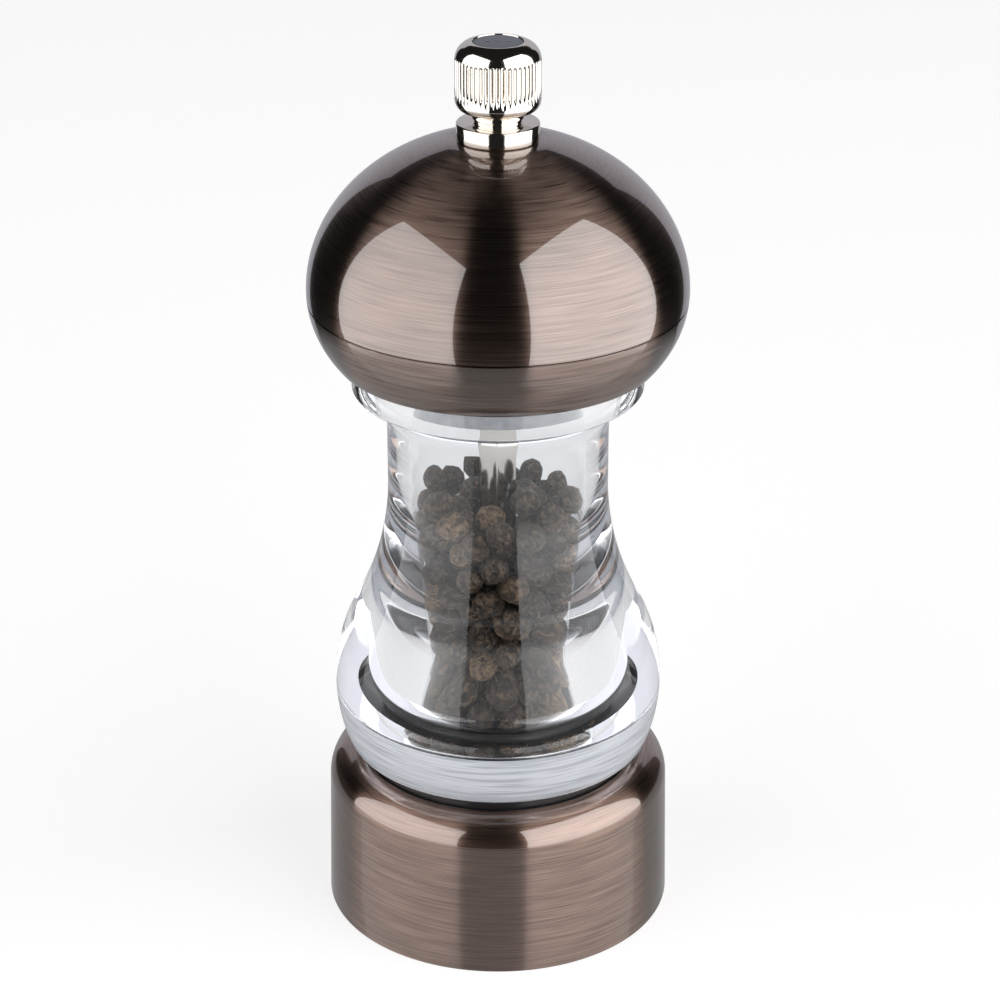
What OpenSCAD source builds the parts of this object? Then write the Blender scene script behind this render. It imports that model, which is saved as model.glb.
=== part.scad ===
// Pepper mill. A thick clear body stands between a brushed metal base and a domed metal head.
// Turning the head turns a square bar, and the bar turns a ridged cone inside a toothed ring.
// The knob on top sets how far the cone may drop, and so how coarse the pepper is.
// Millimetres, +Z up. The origin is on the mill's axis, on the surface that the mill stands on.

/* [Base] */
// Radius of the base sleeve where it stands
base_r = 27.5; // [27.3:0.1:28.5]
// How much narrower the sleeve is at its shoulder
base_taper = 0.45; // [0:0.05:0.6]
// Height of the base sleeve
base_h = 25.9; // [25.4:0.1:26.2]
// Radius of the sleeve's rounded shoulder
shoulder_r = 4.7; // [4.2:0.1:5.2]
// Wall of the metal sleeve and of the head shells
shell_t = 0.8; // [0.6:0.1:0.8]
// Radius of the dark neck between sleeve and clear body
neck_r = 21.3; // [20.8:0.1:21.4]
// Radius of the bore that holds the grinder housing
core_bore_r = 18; // [18:0.05:18.2]

/* [Clear body] */
// Height of the clear body's lower face
body_z = 28; // [27.9:0.05:28.1]
// Height of the clear body's top face
body_top = 92.8; // [92.6:0.05:92.8]
// Largest radius of the belly
belly_r = 25.78; // [25.4:0.02:26.2]
// Height of the widest line of the belly
belly_z = 38.5; // [38:0.1:39]
// Radius of the belly's vertical curve
belly_arc_r = 26.7; // [26:0.1:27.5]
// Radius of the waist
waist_r = 17; // [16.8:0.05:17.4]
// Height where the flare ends and the straight waist begins
waist_z = 73; // [72:0.5:75]
// Radius of the flange at the top
flange_r = 22.3; // [22:0.1:22.6]
// Thickness of the flange
flange_t = 4.5; // [4:0.1:4.8]
// Radius of the hollow curve under the flange
cavetto_r = 5; // [4.5:0.1:5.1]
// Radius of the chamber that holds the peppercorns
chamber_r = 14; // [14:0.01:14.1]
// Radius of the round at the bottom of the chamber
chamber_round_r = 6; // [5.5:0.1:6.5]
// Thickness of the chamber's thin floor
floor_t = 1; // [0.8:0.1:1.2]
// Radius of the throat in the chamber's floor
throat_r = 11.5; // [11.4:0.05:11.7]
// Radius of the recess that holds the housing's collar
recess_r = 20; // [20:0.05:20.2]
// Depth of that recess
recess_h = 7.5; // [7.4:0.1:8]
// Outer radius of the short tube that carries the throat down into the recess
tube_r = 14.6; // [14.4:0.1:14.8]
// Length of that tube
tube_h = 2.1; // [1.9:0.1:2.3]
// Radius of the round at the body's lower edge
foot_round_r = 2; // [1.8:0.1:2.1]

/* [Head] */
// Largest radius of the head
head_r = 28.8; // [28.4:0.1:29.2]
// Height of the head's widest line
head_z = 104; // [103.8:0.1:104.2]
// Rise of the dome above the widest line
dome_h = 24; // [23.8:0.05:24.1]
// Depth of the bowl that the lower shell would have if it ran to a point
bowl_h = 20.5; // [20:0.1:21]
// Height of the seam between the two shells
seam_z = 102.8; // [102.4:0.1:103]
// Width of the seam
seam_gap = 0.15; // [0.1:0.01:0.2]
// Height of the head's lower edge
head_low_z = 93.2; // [93.2:0.01:93.25]
// Height of the small flat under the knob
seat_z = 127.25; // [127.2:0.01:127.28]
// Radius of the spigot that plugs into the chamber
spigot_r = 13.92; // [13.9:0.01:13.95]
// Height of the spigot's lower end
spigot_z = 88; // [87.5:0.1:88.5]

/* [Knob] */
// Height of the knob's lower face
knob_z = 127.3; // [127.29:0.01:127.33]
// Height of the whole mill
mill_h = 142; // [141.5:0.1:142.5]
// Radius of the knob's flange
knob_flange_r = 6.2; // [6:0.05:6.4]
// Radius of the knob's neck
knob_neck_r = 3.65; // [3.5:0.05:3.8]
// Radius of the knob's fluted grip
grip_r = 6.35; // [6.2:0.05:6.5]
// Number of flutes round the grip
flutes = 48; // [40:1:52]
// Radius of the inlay disc
badge_r = 3.6; // [3.3:0.1:3.7]

/* [Shaft and grinder] */
// Side of the square bar
bar_side = 4.2; // [4:0.05:4.2]
// Angle at which the square bar stands
bar_angle = 42; // [0:1:90]
// Radius of the thread's ridges
thread_r = 2.05; // [2:0.01:2.08]
// Distance from one thread ridge to the next
thread_pitch = 0.8; // [0.7:0.05:1]
// Radius of the round end of the shaft
shaft_end_r = 2; // [1.9:0.01:2.02]
// Largest radius of the turning cone
rotor_r = 10.6; // [10.2:0.05:10.65]
// Radius of the top of the turning cone
rotor_top_r = 6.6; // [6.3:0.1:6.8]
// Grooves round the turning cone
rotor_grooves = 20; // [12:1:24]
// Grooves inside the standing ring
ring_grooves = 28; // [16:1:32]

/* [Fill] */
// Height of the peppercorns' surface
fill_z = 70.5; // [50:0.5:78]

/* [Hidden] */

$fn = 96;
slack = 0.1;             // gap between pieces that are fitted together and stay so
eps = 1;                 // how far a cutting tool runs past the face that it cuts

// Levels of the grinder, from the bottom up
bridge_z = 6.4;          // underside of the retainer bridge
bridge_t = 1.6;
bridge_top = bridge_z + bridge_t;
washer_z = 12.5;         // underside of the thrust washer
washer_t = 0.8;
hub_z = washer_z + washer_t + 0.05;
rotor_z = 14.9;          // underside of the turning cone
rotor_top = 27.2;
ring_z = 14.6;           // underside of the standing ring
ring_top = 27;
ring_r = 14.5;
mouth_r = 12.6;          // the standing ring's inner radius at its top
waist_ring_r = 10.95;    // its narrowest inner radius
waist_ring_z = 19;
foot_ring_r = 11.1;      // its inner radius at the bottom
housing_r = core_bore_r - slack;
screw_r = 1.1;
bridge_screw_at = 16.2;  // distance of the bridge screws from the axis
plate_screw_at = 8;      // distance of the drive plate's screws from the axis
plate_z = 89.7;          // underside of the drive plate
plate_t = 1.5;
core_z = 93.3;           // underside of the head core's disc
channel_r = 3.3;         // channel in the head core that the bar passes through
shaft_low_z = 4.4;       // lower end of the shaft
bar_low_z = 11.4;        // where its square bar starts
bar_top_z = 120;         // where its thread starts
shaft_top_z = 136.4;
knob_bore_r = thread_r + 0.06;
knob_bore_top = 137.2;

floor_z = body_z + recess_h;
chamber_z = floor_z - tube_h + floor_t;
round_x = chamber_r - chamber_round_r;                      // centre of the chamber's bottom round
round_angle = acos((throat_r - round_x) / chamber_round_r);  // where the round meets the throat
round_z = chamber_z + chamber_round_r * sin(round_angle);
base_top_r = base_r - base_taper;
shoulder_at = base_top_r - shoulder_r;
shoulder_z = base_h - shoulder_r;

// Points along an arc in the outline's plane
function arc(x, z, r, from, to, steps = 12) =
    [for (i = [0:steps]) let (a = from + (to - from) * i / steps) [x + r * cos(a), z + r * sin(a)]];

// Points along an ellipse centred on the axis at height z
function oval(rx, rz, z, from, to, steps = 12) =
    [for (i = [0:steps]) let (a = from + (to - from) * i / steps) [rx * cos(a), z + rz * sin(a)]];

function reversed(points) = [for (i = [len(points) - 1:-1:0]) points[i]];

// A ring or disc with flat faces
module ring(r_out, r_in, z, h) {
    translate([0, 0, z]) difference() {
        cylinder(r = r_out, h = h);
        translate([0, 0, -eps]) cylinder(r = r_in, h = h + 2 * eps);
    }
}

// A square hole or bar that lines up with the shaft
module square_bar(side, z, h) {
    translate([0, 0, z]) rotate([0, 0, bar_angle])
        translate([-side / 2, -side / 2, 0]) cube([side, side, h]);
}

// A slotted screw that points up, its head's underside at z
module screw(x, y, z, head_r, head_h, length) {
    translate([x, y, z]) {
        cylinder(r = screw_r, h = length, $fn = 32);
        difference() {
            translate([0, 0, -head_h]) cylinder(r = head_r, h = head_h, $fn = 32);
            translate([-head_r - eps, -0.25, -head_h - eps])
                cube([2 * (head_r + eps), 0.5, eps + head_h * 0.4]);
        }
    }
}

// ---- Clear body ----

// The belly's curve meets the flare's curve where both have the same slope
belly_x = belly_r - belly_arc_r;
flare_r = (pow(waist_r - belly_x, 2) + pow(waist_z - belly_z, 2) - pow(belly_arc_r, 2))
    / (2 * (belly_arc_r - waist_r + belly_x));
meet_angle = atan2(waist_z - belly_z, waist_r - belly_x + flare_r);
foot_angle = asin((body_z + foot_round_r - belly_z) / (belly_arc_r - foot_round_r));
foot_x = belly_x + (belly_arc_r - foot_round_r) * cos(foot_angle);

function body_outside() = concat(
    arc(foot_x, body_z + foot_round_r, foot_round_r, -90, foot_angle - 6, 5),
    arc(belly_x, belly_z, belly_arc_r, foot_angle, meet_angle, 24),
    arc(waist_r + flare_r, waist_z, flare_r, 180 + meet_angle - 0.5, 180, 18),
    arc(waist_r + cavetto_r, body_top - flange_t - cavetto_r, cavetto_r, 180, 90, 12),
    [[flange_r - 0.2, body_top - flange_t], [flange_r, body_top - flange_t + 0.2],
     [flange_r, body_top - 0.2], [flange_r - 0.2, body_top]]);

function body_inside() = concat(
    [[chamber_r, body_top]],
    arc(round_x, round_z, chamber_round_r, 0, -round_angle, 10),
    [[throat_r, floor_z - tube_h], [tube_r, floor_z - tube_h], [tube_r, floor_z],
     [recess_r, floor_z], [recess_r, body_z]]);

module acrylic_body() {
    color([0.86, 0.9, 0.95, 0.4]) rotate_extrude() polygon(concat(body_outside(), body_inside()));
}

// The loose peppercorns as one plain solid, with a way through for the bar
module peppercorns() {
    gap = 0.3;
    throat_gap = 0.8;
    low = 29;
    turn = acos((throat_r - throat_gap - round_x) / (chamber_round_r - gap));
    color([0.13, 0.1, 0.08]) rotate_extrude() polygon(concat(
        [[channel_r, low], [throat_r - throat_gap, low]],
        arc(round_x, round_z, chamber_round_r - gap, -turn, 0, 6),
        [[chamber_r - gap, fill_z - 1], [chamber_r - 1 - gap, fill_z], [channel_r, fill_z]]));
}

// ---- Base ----

module base_shell() {
    color([0.36, 0.25, 0.21]) rotate_extrude() polygon(concat(
        [[base_r - shell_t, 0], [base_r - 0.2, 0], [base_r, 0.2]],
        arc(shoulder_at, shoulder_z, shoulder_r, 0, 90),
        [[neck_r + 0.2, base_h], [neck_r + 0.2, base_h - shell_t]],
        arc(shoulder_at, shoulder_z, shoulder_r - shell_t, 90, 0)));
}

module base_core() {
    outer_r = base_top_r - shell_t - slack;
    foot_in_r = 23.8;
    wall_r = core_bore_r + 1.6;
    web_z = shoulder_z - 0.2;
    color([0.05, 0.05, 0.05]) {
        rotate_extrude() polygon(concat(
            [[core_bore_r, 2], [wall_r, 2], [wall_r, web_z], [foot_in_r, web_z], [foot_in_r, 0],
             [outer_r, 0]],
            arc(shoulder_at, shoulder_z, outer_r - shoulder_at, 0, 90),
            [[neck_r, base_h - shell_t - slack], [neck_r, body_z - 0.02], [core_bore_r, body_z - 0.02]]));
        for (i = [0:7]) rotate([0, 0, 45 * i + 22.5])
            translate([wall_r - 0.5, -0.7, 4]) cube([foot_in_r - wall_r + 1, 1.4, web_z - 3]);
    }
}

// ---- Grinder, the standing pieces ----

module stator_housing() {
    collar_r = recess_r - 0.2;
    top = floor_z - 0.3;
    pocket_r = ring_r + 0.05;
    in_r = throat_r - 0.2;
    color([0.06, 0.06, 0.06]) difference() {
        rotate_extrude() polygon(
            [[pocket_r, bridge_top], [housing_r, bridge_top], [housing_r, body_z + 0.02],
             [collar_r, body_z + 0.02], [collar_r, top - 0.8], [collar_r - 0.8, top],
             [tube_r + 0.2, top], [tube_r + 0.2, top - tube_h], [in_r, top - tube_h],
             [in_r, top - 4], [mouth_r, ring_top + 0.05], [pocket_r, ring_top + 0.05]]);
        for (side = [-1, 1]) translate([side * bridge_screw_at, 0, bridge_top - eps])
            cylinder(r = screw_r + 0.05, h = 6 + eps, $fn = 32);
    }
}

module stator_ring() {
    color([0.93, 0.92, 0.89]) difference() {
        rotate_extrude() polygon([[foot_ring_r, ring_z], [ring_r, ring_z], [ring_r, ring_top],
            [mouth_r, ring_top], [waist_ring_r, waist_ring_z]]);
        for (i = [0:ring_grooves - 1]) rotate([0, 0, 360 * i / ring_grooves])
            translate([waist_ring_r + 0.35, 0, ring_z - eps]) cylinder(r = 0.55, h = 13.4, $fn = 16);
    }
}

module retainer_bridge() {
    boss_r = 3.4;
    color([0.75, 0.75, 0.76]) difference() {
        union() {
            intersection() {
                translate([-20, -4, bridge_z]) cube([40, 8, bridge_t]);
                translate([0, 0, bridge_z - eps]) cylinder(r = core_bore_r - 0.3, h = bridge_t + 2 * eps);
            }
            translate([0, 0, bridge_z]) cylinder(r = boss_r, h = bridge_t + 1.5);
        }
        translate([0, 0, bridge_z - eps]) cylinder(r = shaft_end_r + 0.06, h = 6);
        for (side = [-1, 1]) translate([side * bridge_screw_at, 0, bridge_z - eps])
            cylinder(r = screw_r + 0.15, h = bridge_t + 2 * eps, $fn = 32);
    }
}

module bridge_screws() {
    color([0.6, 0.6, 0.62])
        for (side = [-1, 1]) screw(side * bridge_screw_at, 0, bridge_z - 0.02, 1.65, 1.2, 7);
}

// A round wire wound in a helix
module spring() {
    wire_r = 0.42;
    coil_r = 4.6;
    turns = 3.4;
    sides = 8;
    steps = 82;
    low = bridge_top + wire_r + 0.02;
    rise = washer_z - bridge_top - 2 * wire_r - 0.04;
    points = [for (i = [0:steps]) let (a = 360 * turns * i / steps, z = low + rise * i / steps)
        for (k = [0:sides - 1]) let (b = 360 * k / sides)
            [(coil_r + wire_r * cos(b)) * cos(a), (coil_r + wire_r * cos(b)) * sin(a), z + wire_r * sin(b)]];
    walls = [for (i = [0:steps - 1]) for (k = [0:sides - 1]) let (n = (k + 1) % sides)
        [i * sides + k, i * sides + n, (i + 1) * sides + n, (i + 1) * sides + k]];
    ends = [[for (k = [sides - 1:-1:0]) k], [for (k = [0:sides - 1]) steps * sides + k]];
    color([0.7, 0.7, 0.72]) polyhedron(points = points, faces = concat(walls, ends));
}

// ---- Grinder, the turning pieces ----

module thrust_washer() {
    color([0.9, 0.9, 0.88]) ring(6.5, 3.05, washer_z, washer_t);
}

module shaft() {
    ridges = floor((shaft_top_z - bar_top_z - 1.2) / thread_pitch);
    root_r = thread_r - 0.35;
    first = bar_top_z + 0.6;
    color([0.78, 0.77, 0.74]) {
        translate([0, 0, shaft_low_z]) cylinder(r = shaft_end_r, h = bar_low_z - shaft_low_z + 0.5);
        square_bar(bar_side, bar_low_z, bar_top_z - bar_low_z);
        rotate_extrude() polygon(concat(
            [[0, bar_top_z - 1], [root_r, bar_top_z - 1], [root_r, first]],
            [for (i = [0:ridges - 1]) for (p = [[thread_r, 0.3], [thread_r, 0.5], [root_r, 0.8]])
                [p[0], first + (i + p[1]) * thread_pitch]],
            [[root_r - 0.3, shaft_top_z], [0, shaft_top_z]]));
    }
}

module shaft_clip() {
    color([0.7, 0.7, 0.72]) difference() {
        translate([0, 0, rotor_top + 0.15]) cylinder(r = 4.6, h = 0.6);
        square_bar(bar_side + 0.04, rotor_top - 0.5, 3);
        for (i = [0:3]) rotate([0, 0, bar_angle + 45 + 90 * i])
            translate([3.1, -0.5, rotor_top - 0.5]) cube([3, 1, 3]);
    }
}

module rotor_hub() {
    color([0.15, 0.15, 0.16]) difference() {
        union() {
            translate([0, 0, hub_z]) cylinder(r = 4.5, h = rotor_top + 0.1 - hub_z);
            translate([0, 0, hub_z]) cylinder(r = 8.5, h = rotor_z - 0.05 - hub_z);
        }
        square_bar(bar_side + 0.1, hub_z - eps, 20);
    }
}

module rotor_cone() {
    slope = atan2(rotor_r - rotor_top_r, rotor_top - rotor_z);
    color([0.93, 0.92, 0.89]) difference() {
        translate([0, 0, rotor_z]) cylinder(r1 = rotor_r, r2 = rotor_top_r, h = rotor_top - rotor_z);
        translate([0, 0, rotor_z - eps]) cylinder(r = 4.55, h = rotor_top - rotor_z + 2 * eps);
        for (i = [0:rotor_grooves - 1]) rotate([0, 0, 360 * i / rotor_grooves])
            translate([rotor_r + 0.1, 0, rotor_z]) rotate([12, -slope, 0])
                translate([0, 0, -2]) cylinder(r = 0.7, h = 18, $fn = 16);
    }
}

// ---- Head ----

// Angle along an oval of height rz at which it reaches a height above or below its centre
function angle_at(height, rz) = asin(height / rz);

module head_dome_shell() {
    in_r = head_r - shell_t;
    in_h = dome_h - shell_t;
    bowl_in = bowl_h - shell_t;
    up = seat_z - head_z;
    down = seam_z - head_z;
    hole_r = 5.7;
    color([0.33, 0.24, 0.2]) rotate_extrude() polygon(concat(
        oval(head_r, bowl_h, head_z, angle_at(down, bowl_h), -0.5, 2),
        oval(head_r, dome_h, head_z, 0, angle_at(up, dome_h), 28),
        [[hole_r, seat_z], [hole_r, seat_z - shell_t]],
        oval(in_r, in_h, head_z, angle_at(up - shell_t, in_h), 0, 28),
        [[in_r * cos(angle_at(down, bowl_in)), seam_z]]));
}

module head_skirt_shell() {
    in_r = head_r - shell_t;
    bowl_in = bowl_h - shell_t;
    low = head_low_z - head_z;
    high = seam_z - seam_gap - head_z;
    lip_r = 23.3;
    color([0.33, 0.24, 0.2]) rotate_extrude() polygon(concat(
        [[lip_r, head_low_z]],
        oval(head_r, bowl_h, head_z, angle_at(low, bowl_h), angle_at(high, bowl_h), 12),
        oval(in_r, bowl_in, head_z, angle_at(high, bowl_in), angle_at(low + shell_t, bowl_in), 12),
        [[lip_r, head_low_z + shell_t]]));
}

module head_core() {
    disc_r = 23;
    tube_r = 5.5;
    tube_top = seat_z - 0.1;
    gap = shell_t + 0.3;
    color([0.55, 0.56, 0.58]) difference() {
        union() {
            translate([0, 0, core_z]) cylinder(r = disc_r, h = 2);
            translate([0, 0, spigot_z]) cylinder(r = spigot_r, h = core_z - spigot_z + 0.5);
            translate([0, 0, core_z + 1]) cylinder(r = tube_r, h = tube_top - core_z - 1);
            intersection() {
                for (i = [0:5]) rotate([0, 0, 60 * i])
                    translate([tube_r - 1, -0.8, core_z + 1]) cube([head_r, 1.6, 40]);
                rotate_extrude() polygon(concat(
                    [[0, core_z + 1]],
                    oval(head_r - gap, bowl_h - gap, head_z,
                        angle_at(core_z + 1 - head_z, bowl_h - gap), 0, 8),
                    oval(head_r - gap, dome_h - gap, head_z, 0, 70, 16),
                    [[0, head_z + (dome_h - gap) * sin(70)]]));
            }
        }
        translate([0, 0, spigot_z - eps]) cylinder(r = 11.6, h = plate_z + plate_t - spigot_z + eps);
        translate([0, 0, spigot_z - eps]) cylinder(r = channel_r, h = 60);
        for (i = [0:2]) rotate([0, 0, 120 * i + 30]) translate([plate_screw_at, 0, plate_z])
            cylinder(r = screw_r + 0.05, h = 5.6, $fn = 32);
    }
}

module drive_plate() {
    color([0.72, 0.72, 0.73]) difference() {
        translate([0, 0, plate_z]) cylinder(r = 11.5, h = plate_t - 0.02);
        square_bar(bar_side + 0.2, plate_z - eps, plate_t + 2 * eps);
        for (i = [0:2]) rotate([0, 0, 120 * i + 30]) translate([plate_screw_at, 0, plate_z - eps])
            cylinder(r = screw_r + 0.15, h = plate_t + 2 * eps, $fn = 32);
    }
}

module drive_plate_screws() {
    color([0.6, 0.6, 0.62]) for (i = [0:2]) rotate([0, 0, 120 * i + 30])
        screw(plate_screw_at, 0, plate_z - 0.02, 2, 0.9, 5.2);
}

module glide_ring() {
    color([0.95, 0.95, 0.95]) ring(19, spigot_r + 0.06, body_top + 0.04, core_z - body_top - 0.08);
}

// ---- Knob ----

module knob() {
    top_r = grip_r - badge_r - 0.05; // the round ends where the inlay's recess starts
    badge_z = mill_h - 0.7;
    color([0.85, 0.83, 0.8]) difference() {
        rotate_extrude() polygon(concat(
            [[knob_bore_r, knob_z], [knob_flange_r - 0.3, knob_z], [knob_flange_r, knob_z + 0.3],
             [knob_flange_r, knob_z + 2.3], [knob_flange_r - 0.3, knob_z + 2.6],
             [knob_neck_r, knob_z + 2.6], [knob_neck_r, knob_z + 4.4], [grip_r - 0.8, knob_z + 5.3]],
            arc(grip_r - 1.2, knob_z + 6.4, 1.2, -60, 0, 5),
            arc(grip_r - top_r, mill_h - top_r, top_r, 0, 90, 12),
            [[badge_r + 0.05, badge_z], [0, badge_z], [0, knob_bore_top], [knob_bore_r, knob_bore_top]]));
        for (i = [0:flutes - 1]) rotate([0, 0, 360 * i / flutes])
            translate([grip_r + 0.1, 0, knob_z + 6.7]) cylinder(r = 0.28, h = 5.4, $fn = 16);
    }
}

module knob_badge() {
    badge_z = mill_h - 0.68;
    color([0.2, 0.23, 0.29]) {
        translate([0, 0, badge_z]) cylinder(r = badge_r, h = 0.6);
        for (i = [-1:1]) translate([1.5 * i, 0, badge_z + 0.5]) cylinder(r = 0.45, h = 0.17, $fn = 32);
    }
}

acrylic_body();
base_shell();
base_core();
stator_housing();
stator_ring();
retainer_bridge();
bridge_screws();
spring();
peppercorns();
glide_ring();
head_dome_shell();
head_skirt_shell();
head_core();
drive_plate();
drive_plate_screws();
knob();
knob_badge();
thrust_washer();
shaft();
shaft_clip();
rotor_hub();
rotor_cone();
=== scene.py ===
# %% [markdown]
# # A pepper mill, turned piece by piece
# The mill is a thick clear body between two brushed metal shells, with a domed head that
# turns, a fluted knob that sets the grind, and a ceramic grinder hidden in the base. Nearly
# every piece is turned, so most of this lesson draws half an outline and spins it. The
# working model comes in first, and each piece made here takes its place from that model.

# %% Load the working model
import math

import bpy
import numpy as np
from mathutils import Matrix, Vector, noise


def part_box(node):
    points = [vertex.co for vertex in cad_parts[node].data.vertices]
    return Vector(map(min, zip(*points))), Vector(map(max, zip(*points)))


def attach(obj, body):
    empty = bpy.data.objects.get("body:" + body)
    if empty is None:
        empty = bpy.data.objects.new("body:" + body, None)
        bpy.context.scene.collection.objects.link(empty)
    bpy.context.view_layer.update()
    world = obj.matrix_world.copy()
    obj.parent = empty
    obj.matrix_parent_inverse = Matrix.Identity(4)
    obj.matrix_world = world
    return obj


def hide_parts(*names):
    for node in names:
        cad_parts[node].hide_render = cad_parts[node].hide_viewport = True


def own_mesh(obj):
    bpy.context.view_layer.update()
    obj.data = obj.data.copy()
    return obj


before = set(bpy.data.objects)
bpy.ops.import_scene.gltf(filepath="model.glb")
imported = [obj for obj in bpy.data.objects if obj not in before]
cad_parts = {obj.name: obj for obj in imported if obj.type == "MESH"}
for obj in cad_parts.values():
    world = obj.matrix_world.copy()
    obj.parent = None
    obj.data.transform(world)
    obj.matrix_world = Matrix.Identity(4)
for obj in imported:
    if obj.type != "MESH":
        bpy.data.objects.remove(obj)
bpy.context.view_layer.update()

# %% [markdown]
# ## Camera and light
# The mill is seen from a little above, through a long lens, so that its sides stay nearly
# parallel. Polished metal and clear plastic show what stands around them more than they
# show themselves, so the light is built first: two large soft boxes in front, one on each
# side, a white wall behind, and a dark room between them. The dark gap between the boxes
# draws the dark stripe down the middle of every metal piece, and the dark gaps beside the
# wall draw the dark outlines. Each box is placed by the direction it has from the mill.

# %% Camera
mm = 0.001
scene = bpy.context.scene
lens_data = bpy.data.cameras.new("long_lens")
camera = bpy.data.objects.new("camera", lens_data)
scene.collection.objects.link(camera)
scene.camera = camera
lens_data.lens = 105
lens_data.sensor_width = 36
lens_data.shift_x = 0.002
tilt_down = math.radians(24.917)
aim = Vector((0, 0, 68.78 * mm))
distance = 452.69 * mm
camera.location = aim + distance * Vector((0, -math.cos(tilt_down), math.sin(tilt_down)))
camera.rotation_euler = (math.pi / 2 - tilt_down, 0, 0)
print("camera at", [round(v, 4) for v in camera.location])

# %% Soft boxes
head_level = 110 * mm


def soft_box(name, bearing, reach, half_angle, low, high, radiance):
    """An upright rectangular lamp that the camera doesn't see.

    bearing is the direction in degrees, from the front round to the right, reach is how far
    off it stands, half_angle is half its width as seen from the mill, and low and high are
    the heights of its edges above the head, as parts of its reach."""
    data = bpy.data.lights.new(name, "AREA")
    data.shape = "RECTANGLE"
    data.size = 2 * reach * math.tan(math.radians(half_angle))
    data.size_y = reach * (high - low)
    data.energy = radiance * math.pi * data.size * data.size_y
    lamp = bpy.data.objects.new(name, data)
    scene.collection.objects.link(lamp)
    turn = math.radians(bearing)
    middle = head_level + reach * (low + high) / 2
    lamp.location = (reach * math.sin(turn), -reach * math.cos(turn), middle)
    lamp.rotation_euler = (math.pi / 2, 0, turn)
    lamp.visible_camera = False
    print(name, "is", round(data.size, 2), "m wide and", round(data.size_y, 2), "m high")
    return lamp


soft_box("left_box", -65.5, 0.9, 40, -1.2, 1.42, 1.95)
soft_box("right_box", 61.5, 0.9, 43, -1.2, 1.75, 2.4)
wall_lamp = soft_box("white_wall", 177, 1.2, 34, -0.6, 0.6, 0.5)
wall_lamp.data.color = (0.93, 0.92, 1.0)

# %% [markdown]
# The room itself is almost black to the metal, so that only the lamps show in it. The eye
# sees a white ground. Light that comes through the clear body finds a pale, faintly violet
# surround, greyer in front than behind, which is what gives thick acrylic its soft edges.

# %% Dark room


def lay_out(tree, **kinds):
    """Adds one node of each kind to a node tree and returns them by their given names."""
    return {name: tree.nodes.new(kind) for name, kind in kinds.items()}


world = bpy.data.worlds.new("studio")
scene.world = world
world.use_nodes = True
air = world.node_tree
part = lay_out(
    air,
    seen="ShaderNodeLightPath",
    place="ShaderNodeTexCoord",
    split="ShaderNodeSeparateXYZ",
    behind="ShaderNodeMapRange",
    through="ShaderNodeMath",
    most="ShaderNodeMath",
    level="ShaderNodeMapRange",
    tint="ShaderNodeMix",
)
room_dim, front_grey, back_grey, ground_white = 0.012, 0.42, 0.9, 1.04
part["through"].operation = "MULTIPLY"
part["most"].operation = "MAXIMUM"
part["behind"].inputs["From Min"].default_value = -0.5
part["behind"].inputs["From Max"].default_value = 0.5
part["behind"].inputs["To Min"].default_value = front_grey
part["behind"].inputs["To Max"].default_value = back_grey
part["level"].inputs["To Min"].default_value = room_dim
part["level"].inputs["To Max"].default_value = ground_white
part["tint"].data_type = "RGBA"
part["tint"].inputs["A"].default_value = (1, 1, 1, 1)
part["tint"].inputs["B"].default_value = (0.91, 0.925, 1.0, 1)
for start, end in (
    (part["place"].outputs["Generated"], part["split"].inputs[0]),
    (part["split"].outputs["Y"], part["behind"].inputs["Value"]),
    (part["behind"].outputs[0], part["through"].inputs[0]),
    (part["seen"].outputs["Is Transmission Ray"], part["through"].inputs[1]),
    (part["seen"].outputs["Is Camera Ray"], part["most"].inputs[0]),
    (part["through"].outputs[0], part["most"].inputs[1]),
    (part["most"].outputs[0], part["level"].inputs["Value"]),
    (part["level"].outputs[0], air.nodes["Background"].inputs["Strength"]),
    (part["seen"].outputs["Is Transmission Ray"], part["tint"].inputs["Factor"]),
    (part["tint"].outputs["Result"], air.nodes["Background"].inputs["Color"]),
):
    air.links.new(start, end)
scene.view_settings.view_transform = "Standard"
scene.cycles.max_bounces = 24
scene.cycles.transmission_bounces = 24
scene.cycles.glossy_bounces = 12
print("the room gives", room_dim, "and a white ground to the eye")

# %% [markdown]
# The floor is white paper to the eye and through the clear plastic. In the metal it does
# what a glossy white table top does: close to the mill it is a soft grey that mirrors the
# boxes a little, and beyond the table's edge the boxes carry on below it. Seen from below
# the paper isn't there, so that the underside can be looked at.

# %% Floor
bpy.ops.object.select_all(action="DESELECT")
bpy.ops.mesh.primitive_plane_add(size=10, location=(0, 0, 0))
floor = bpy.context.object
floor.name = "floor"
paper = bpy.data.materials.new("white_table")
paper.use_nodes = True
tree = paper.node_tree
tree.nodes.clear()
part = lay_out(
    tree,
    out="ShaderNodeOutputMaterial",
    path="ShaderNodeLightPath",
    mirrored="ShaderNodeMath",
    place="ShaderNodeTexCoord",
    far="ShaderNodeVectorMath",
    edge="ShaderNodeMapRange",
    glow="ShaderNodeEmission",
    bright="ShaderNodeMapRange",
    matt="ShaderNodeBsdfDiffuse",
    white="ShaderNodeAddShader",
    haze="ShaderNodeEmission",
    mirror="ShaderNodeBsdfGlossy",
    top="ShaderNodeAddShader",
    open="ShaderNodeBsdfTransparent",
    table="ShaderNodeMixShader",
    choose="ShaderNodeMixShader",
    side="ShaderNodeNewGeometry",
    under="ShaderNodeMath",
    glassy="ShaderNodeMixShader",
)
paper_glow, paper_through = 0.72, 0.56
table_ends, boxes_begin = 0.165, 0.23
part["under"].operation = "MULTIPLY"
part["bright"].inputs["To Min"].default_value = paper_glow
part["bright"].inputs["To Max"].default_value = paper_through
part["matt"].inputs["Color"].default_value = (0.4, 0.4, 0.4, 1)
part["haze"].inputs["Strength"].default_value = 0.32
part["mirror"].inputs["Color"].default_value = (0.12, 0.12, 0.12, 1)
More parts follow.
